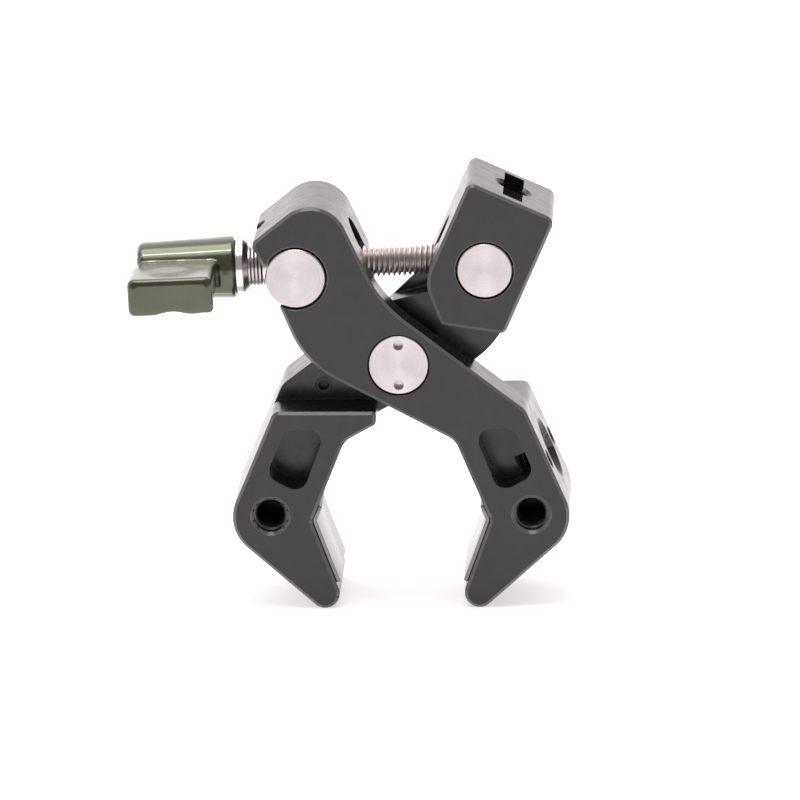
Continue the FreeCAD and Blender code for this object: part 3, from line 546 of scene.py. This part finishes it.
def lever():
    """The handle: barrel, hub and winged thumb bar blended into one skin."""
    to_line = SCREW_LINE.inverted()
    corners = [to_line @ vertex.co for vertex in NODES["lever"].data.vertices]
    reach = -min(corner.y for corner in corners)
    wing_share = 0.6
    wing = [corner for corner in corners if corner.y < -wing_share * reach]
    top, bottom = max(corner.z for corner in wing), min(corner.z for corner in wing)
    wing_start, wing_end = min(corner.x for corner in wing), max(corner.x for corner in wing)
    screw_gap, insert_gap = 0.2 * MM, 0.1 * MM
    start = along_line("lever_screw")[0] - screw_gap
    hub_end = along_line("lever")[1]
    hub = off_line_radius(corners, hub_end)
    end_radius = hub * 0.90
    end_round = 0.9 * MM
    cup = off_line("lever_screw") + screw_gap
    socket = off_line("lever_insert") + insert_gap
    neck = along_line("lever_insert")[0] - insert_gap
    neck_start = neck - 2.1 * MM
    neck_bore = off_line("lever_spring") * 0.62
    profile = [
        (start, cup), (start, end_radius - end_round), (start + end_round / 3, end_radius - end_round / 3),
        (start + end_round, end_radius), (wing_end - 2.5 * MM, hub * 0.96), (wing_end, hub * 0.98),
        (hub_end - 0.4 * MM, hub), (hub_end, hub - 0.35 * MM),
        (hub_end, socket), (neck, socket), (neck, neck_bore), (neck_start, neck_bore), (neck_start, cup),
    ]
    wing_mesh = lever_wing(wing_start, wing_end - 0.4 * MM, reach, top, bottom)
    mesh = joined(lathe(profile, 96), wing_mesh)
    piece = mesh_piece("lever_handle", mesh[0], mesh[1], OLIVE)
    skin = piece.modifiers.new("skin", "REMESH")
    skin.mode = "VOXEL"
    skin.voxel_size = 0.2 * MM
    soften = piece.modifiers.new("soften", "SMOOTH")
    soften.factor = 0.5
    soften.iterations = 6
    applied(piece)
    press_hollows(piece, wing_start, wing_end, reach, top, bottom)
    piece.data.transform(SCREW_LINE)
    piece.data.polygons.foreach_set("use_smooth", [True] * len(piece.data.polygons))
    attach(piece, "lever")
    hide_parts("lever")


# ---------------------------------------------------------------- jaw pads

def jaw_pad(name, node, body):
    """A bent strip with rounded edges, from the CAD strip's own outline."""
    source = NODES[node].data
    shape = bmesh.new()
    shape.from_mesh(source)
    bmesh.ops.remove_doubles(shape, verts=shape.verts, dist=0.002 * MM)
    bmesh.ops.dissolve_limit(shape, angle_limit=math.radians(1), verts=shape.verts, edges=shape.edges)
    mesh = bpy.data.meshes.new(name)
    shape.to_mesh(mesh)
    shape.free()
    mesh.materials.clear()
    mesh.materials.append(PAD_RUBBER)
    piece = bpy.data.objects.new(name, mesh)
    bpy.context.scene.collection.objects.link(piece)
    bevel = piece.modifiers.new("bevel", "BEVEL")
    bevel.width = 0.18 * MM
    bevel.segments = 3
    bevel.limit_method = "ANGLE"
    bevel.angle_limit = math.radians(50)
    applied(piece)
    piece.data.polygons.foreach_set("use_smooth", [True] * len(piece.data.polygons))
    piece.data.set_sharp_from_angle(angle=math.radians(40))
    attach(piece, body)
    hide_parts(node)


# ---------------------------------------------------------------- stage, light and camera

def floor():
    """A pale table just under the jaw tips, lit from below and more so behind the clamp."""
    lowest = CAD_BOUNDS[0].z
    half = 6.0
    fade_start, fade_end = -0.10, 0.10
    front_glow, rear_glow = 0.42, 0.70
    corners = [(-half, -half, lowest), (half, -half, lowest), (half, half, lowest), (-half, half, lowest)]
    paper = Shader("floor_paper", 0.9)
    paper.colour(paper.mixed(paper.noise(0.4), (0.93, 0.93, 0.93), (0.96, 0.96, 0.96)))
    split = paper.node("ShaderNodeSeparateXYZ")
    paper.link(paper.place, split.inputs["Vector"])
    glow = spread(paper.tree, split.outputs["Y"], fade_start, fade_end, front_glow, rear_glow, "SMOOTHSTEP")
    paper.link(glow, paper.bsdf.inputs["Emission Strength"])
    paper.bsdf.inputs["Emission Color"].default_value = (1.0, 0.96, 0.97, 1)
    mesh_piece("floor", corners, [(0, 1, 2, 3)], paper.material, smooth=False)


def overhead_light():
    """A soft box above the clamp, aimed at the pivot and unseen by the camera."""
    light = bpy.data.lights.new("overhead", "AREA")
    light.shape = "RECTANGLE"
    light.size, light.size_y = 0.6, 0.45
    light.energy = 2.8
    place = Vector((-0.10, -0.05, 0.80))
    lamp = bpy.data.objects.new("overhead", light)
    lamp.location = place
    lamp.rotation_mode = "QUATERNION"
    lamp.rotation_quaternion = (-place).to_track_quat("-Z", "Y")
    lamp.visible_camera = False
    bpy.context.scene.collection.objects.link(lamp)


def studio():
    """A white cove, brightest behind and a little to the left, shown in plain sRGB."""
    world = bpy.data.worlds.new("studio")
    bpy.context.scene.world = world
    world.use_nodes = True
    tree = world.node_tree
    background = tree.nodes["Background"]
    direction = tree.nodes.new("ShaderNodeTexCoord")
    towards = tree.nodes.new("ShaderNodeVectorMath")
    towards.operation = "DOT_PRODUCT"
    towards.inputs[1].default_value = Vector((-0.30, 0.95, 0.10)).normalized()
    tree.links.new(direction.outputs["Generated"], towards.inputs[0])
    dimmest, brightest = 0.35, 1.5
    glow = spread(tree, towards.outputs["Value"], -0.5, 1.0, dimmest, brightest, "SMOOTHSTEP")
    tree.links.new(glow, background.inputs["Strength"])
    background.inputs["Color"].default_value = (1.0, 0.94, 0.96, 1)
    bpy.context.scene.view_settings.view_transform = "Standard"


def camera():
    """A long lens from slightly above and to the right, aimed just below the pivot bolt."""
    azimuth, elevation, roll = math.radians(2.3), math.radians(13.6), math.radians(-0.94)
    distance = 1.45
    low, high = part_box("pivot_bolt")
    pivot = Vector(((low.x + high.x) / 2, low.y, (low.z + high.z) / 2))
    back = Vector((math.sin(azimuth) * math.cos(elevation), -math.cos(azimuth) * math.cos(elevation),
                   math.sin(elevation)))
    lens = bpy.data.cameras.new("camera")
    lens.sensor_width = 36.0
    lens.lens = 345.8
    lens.clip_start, lens.clip_end = 0.1, 50.0
    viewer = bpy.data.objects.new("camera", lens)
    viewer.location = pivot + back * distance
    straight = (-back).to_track_quat("-Z", "Y")
    aside, below = 0.19 * MM, 6.55 * MM
    aim = pivot + straight @ Vector((aside, -below, 0))
    viewer.rotation_mode = "QUATERNION"
    towards = (aim - viewer.location).to_track_quat("-Z", "Y")
    viewer.rotation_quaternion = towards @ Quaternion((0, 0, 1), roll)
    bpy.context.scene.collection.objects.link(viewer)
    bpy.context.scene.camera = viewer


dress_nodes()
clamp_screw()
accessory_threads()
lever()
jaw_pad("right_pad_strip", "right_jaw_pad", "front_arm")
jaw_pad("left_pad_strip", "left_jaw_pad", "rear_arm")
floor()
studio()
overhead_light()
camera()
